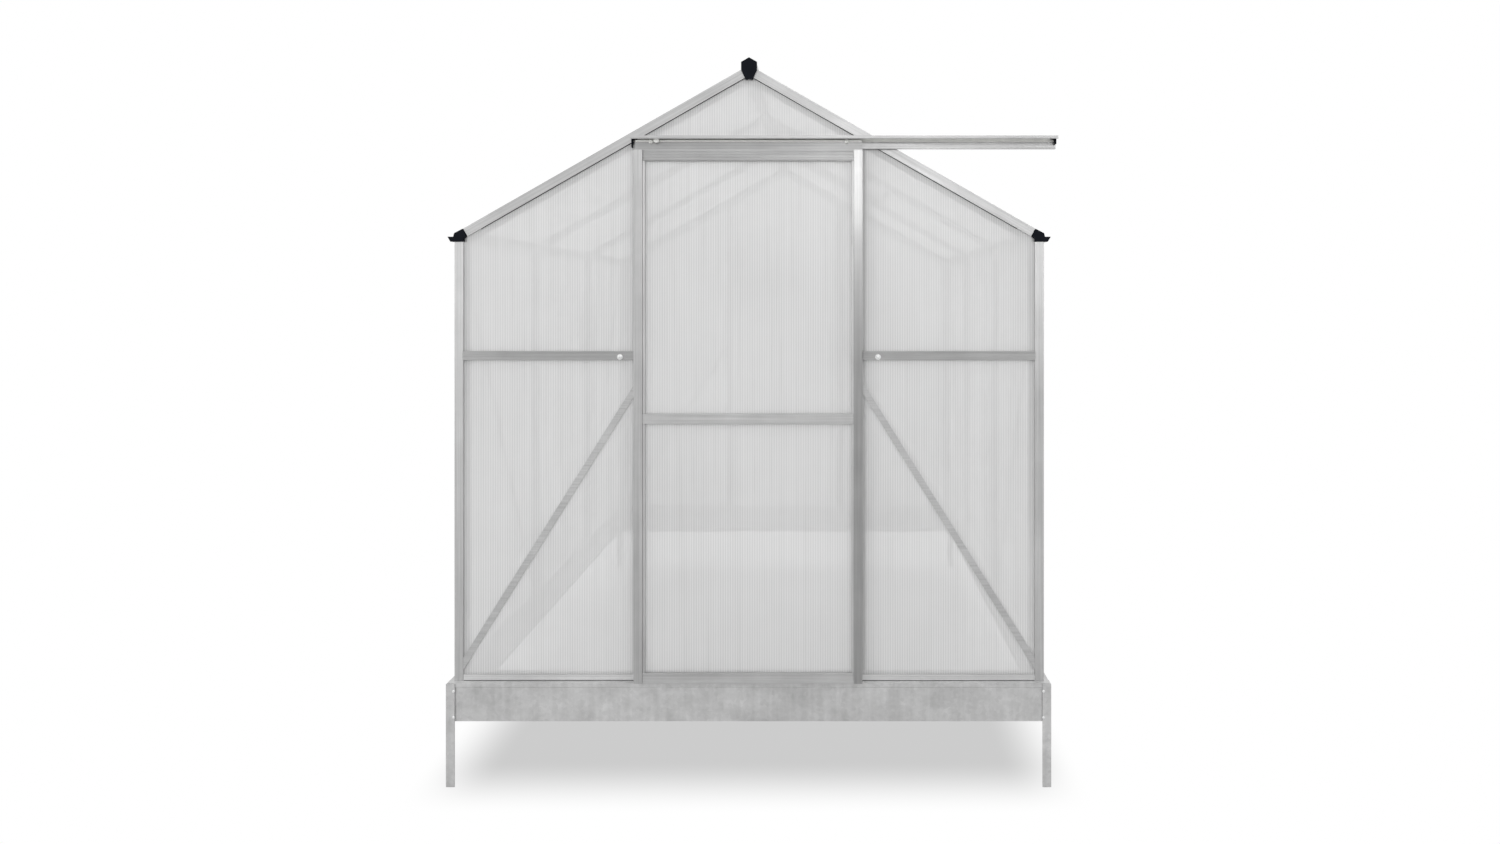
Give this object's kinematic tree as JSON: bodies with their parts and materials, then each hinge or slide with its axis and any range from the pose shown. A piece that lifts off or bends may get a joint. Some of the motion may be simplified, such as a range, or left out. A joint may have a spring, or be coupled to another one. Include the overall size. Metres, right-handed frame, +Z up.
{
  "type": "walk-in greenhouse",
  "caption": "Small walk-in gable greenhouse: bare aluminium frame with twin-wall sheets, a sliding door on a long top track, a roof vent and a galvanised base with ground stakes.",
  "frame": {"origin": "centre of the whole object's plan box, at the underside of the ground stakes", "axes": "+Z up; +Y from the door gable towards the rear gable; +X to the right when facing the door, the way the door opens"},
  "size_m": [1.913, 1.914, 2.288],
  "materials": {
    "mill_aluminium": "untreated extruded aluminium, fine lengthwise die lines, dull satin",
    "galvanised_steel": "hot-dip galvanised sheet, soft spangle, dull",
    "twin_wall_polycarbonate": "translucent pale grey twin-wall sheet with fine upright flutes",
    "black_plastic": "moulded, near black",
    "white_nylon": "natural white nylon"
  },
  "bodies": {
    "frame": {"base_front": "galvanised_steel", "base_left": "galvanised_steel", "base_rear": "galvanised_steel", "base_right": "galvanised_steel", "corner_post_front_left": "mill_aluminium", "corner_post_front_right": "mill_aluminium", "corner_post_rear_left": "mill_aluminium", "corner_post_rear_right": "mill_aluminium", "door_jamb_left": "mill_aluminium", "door_jamb_right": "mill_aluminium", "door_track": "mill_aluminium", "front_brace_left": "mill_aluminium", "front_brace_right": "mill_aluminium", "front_mid_rail_left": "mill_aluminium", "front_mid_rail_right": "mill_aluminium", "ground_stake_front_left": "galvanised_steel", "ground_stake_front_right": "galvanised_steel", "ground_stake_rear_left": "galvanised_steel", "ground_stake_rear_right": "galvanised_steel", "gutter_cap_left": "black_plastic", "gutter_cap_right": "black_plastic", "gutter_left": "mill_aluminium", "gutter_right": "mill_aluminium", "rafter_front_left": "mill_aluminium", "rafter_front_right": "mill_aluminium", "rafter_rear_left": "mill_aluminium", "rafter_rear_right": "mill_aluminium", "ridge_beam": "mill_aluminium", "ridge_cap": "black_plastic", "roof_bar_left_front": "mill_aluminium", "roof_bar_left_rear": "mill_aluminium", "roof_bar_right_front": "mill_aluminium", "roof_bar_right_rear": "mill_aluminium", "sheet_front_left": "twin_wall_polycarbonate", "sheet_front_right": "twin_wall_polycarbonate", "sheet_gable_front": "twin_wall_polycarbonate", "sheet_left": "twin_wall_polycarbonate", "sheet_rear": "twin_wall_polycarbonate", "sheet_right": "twin_wall_polycarbonate", "sheet_roof_left": "twin_wall_polycarbonate", "sheet_roof_right": "twin_wall_polycarbonate", "side_stud_left_front": "mill_aluminium", "side_stud_left_rear": "mill_aluminium", "side_stud_right_front": "mill_aluminium", "side_stud_right_rear": "mill_aluminium", "sill_front": "mill_aluminium", "sill_left": "mill_aluminium", "sill_rear": "mill_aluminium", "sill_right": "mill_aluminium"},
    "door": {"door_panel_lower": "twin_wall_polycarbonate", "door_panel_upper": "twin_wall_polycarbonate", "door_rail_bottom": "mill_aluminium", "door_rail_mid": "mill_aluminium", "door_rail_top": "mill_aluminium", "door_stile_left": "mill_aluminium", "door_stile_right": "mill_aluminium"},
    "door_wheel_left": {"door_wheel_left": "white_nylon"},
    "door_wheel_right": {"door_wheel_right": "white_nylon"},
    "roof_vent": {"roof_vent": "mill_aluminium"},
    "vent_stay": {"vent_stay": "galvanised_steel"}
  },
  "joints": [
    {"name": "door_slide", "type": "slide", "parent": "frame", "child": "door", "axis": [1, 0, 0], "range_m": [0, 0.6]},
    {"name": "wheel_left_spin", "type": "hinge", "parent": "door", "child": "door_wheel_left", "pos_m": [-0.3125, -0.927, 2.0195], "axis": [0, 1, 0], "continuous": true},
    {"name": "wheel_right_spin", "type": "hinge", "parent": "door", "child": "door_wheel_right", "pos_m": [0.2995, -0.927, 2.0195], "axis": [0, 1, 0], "continuous": true},
    {"name": "vent_hinge", "type": "hinge", "parent": "frame", "child": "roof_vent", "pos_m": [0.02302, 0.01, 2.25619], "axis": [0, -1, 0], "range_deg": [0, 35]},
    {"name": "stay_pivot", "type": "hinge", "parent": "roof_vent", "child": "vent_stay", "pos_m": [0.45785, 0.01, 1.98922], "axis": [0, 1, 0], "range_deg": [0, 17.5]}
  ],
  "couplings": [
    {"joint": "wheel_left_spin", "follows": "door_slide", "rad_per_m": 116.28},
    {"joint": "wheel_right_spin", "follows": "door_slide", "rad_per_m": 116.28},
    {"joint": "stay_pivot", "follows": "vent_hinge", "ratio": 0.5}
  ]
}
